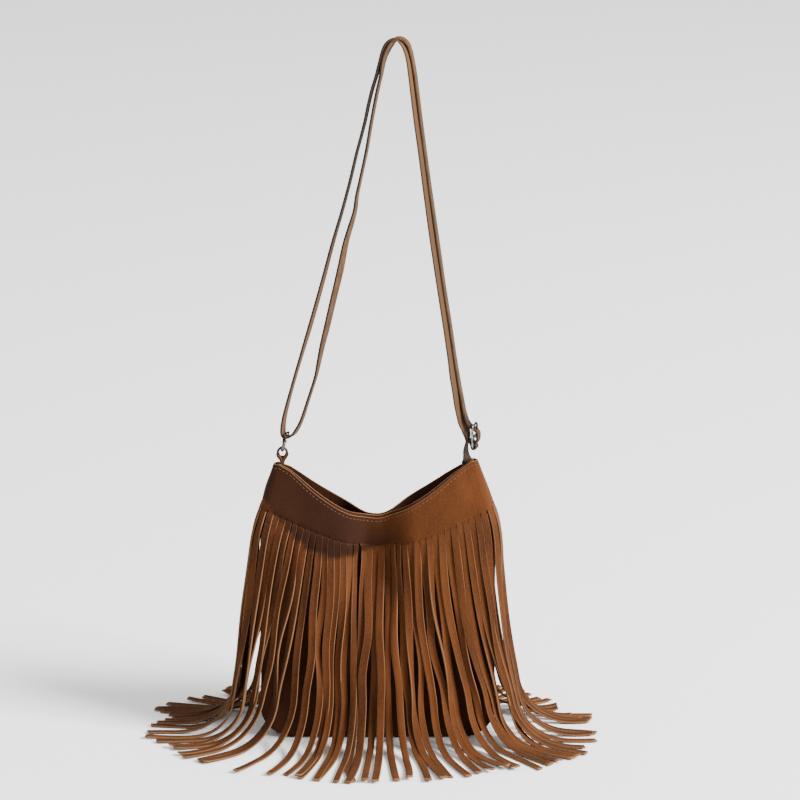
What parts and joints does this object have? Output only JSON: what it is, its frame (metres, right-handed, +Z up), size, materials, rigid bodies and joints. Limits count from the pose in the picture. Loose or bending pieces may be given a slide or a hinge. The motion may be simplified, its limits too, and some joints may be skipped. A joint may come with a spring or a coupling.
{
  "type": "fringed shoulder bag",
  "caption": "Small suede bucket bag with long cut fringe splaying at the base and a narrow adjustable strap held upright.",
  "frame": {"origin": "middle of the pouch's flat base, on the surface that the bag stands on", "axes": "+Z up, the front facing -Y, +X to the right as seen from the front"},
  "size_m": [0.3408, 0.2416, 0.527],
  "materials": {
    "suede_fringe": "brushed suede",
    "suede_pouch": "brushed suede",
    "strap_leather": "smooth strap leather",
    "dark_nickel": "dark polished nickel"
  },
  "bodies": {
    "bag": {"front_panel": "suede_pouch", "back_panel": "suede_pouch", "gusset": "suede_pouch", "front_fringe": "suede_fringe", "back_fringe": "suede_fringe", "magnet_socket": "dark_nickel", "magnet_stud": "dark_nickel", "ring_tab": "suede_pouch", "strap": "strap_leather", "buckle_chape": "strap_leather"},
    "ring": {"d_ring": "dark_nickel", "snap_hook": "dark_nickel"},
    "gate": {"hook_gate": "dark_nickel"},
    "eye": {"swivel_eye": "dark_nickel"},
    "buckle": {"buckle_frame": "dark_nickel"},
    "prong": {"buckle_prong": "dark_nickel"}
  },
  "joints": [
    {"name": "ring_swing", "type": "hinge", "parent": "bag", "child": "ring", "pos_m": [-0.0712, 0, 0.2131], "axis": [1, 0, 0], "range_deg": [-40, 40], "deforming": ["strap"]},
    {"name": "gate_press", "type": "hinge", "parent": "ring", "child": "gate", "pos_m": [-0.0698, 0.0026, 0.22362], "axis": [-0.9681, 0, 0.2504], "range_deg": [0, 38], "stiffness_Nm_per_rad": 0.002, "springref_deg": -20.05},
    {"name": "eye_swivel", "type": "hinge", "parent": "ring", "child": "eye", "pos_m": [-0.0712, 0, 0.2182], "axis": [0.2504, 0, 0.9681], "range_deg": [-60, 60], "deforming": ["strap"]},
    {"name": "buckle_tilt", "type": "hinge", "parent": "bag", "child": "buckle", "pos_m": [0.0722, 0, 0.221], "axis": [0.309, 0.9511, 0], "range_deg": [0, 40], "deforming": ["strap"]},
    {"name": "prong_lift", "type": "hinge", "parent": "buckle", "child": "prong", "pos_m": [0.0722, 0, 0.2295], "axis": [0.309, 0.9511, 0], "range_deg": [0, 70], "deforming": ["strap"]}
  ]
}
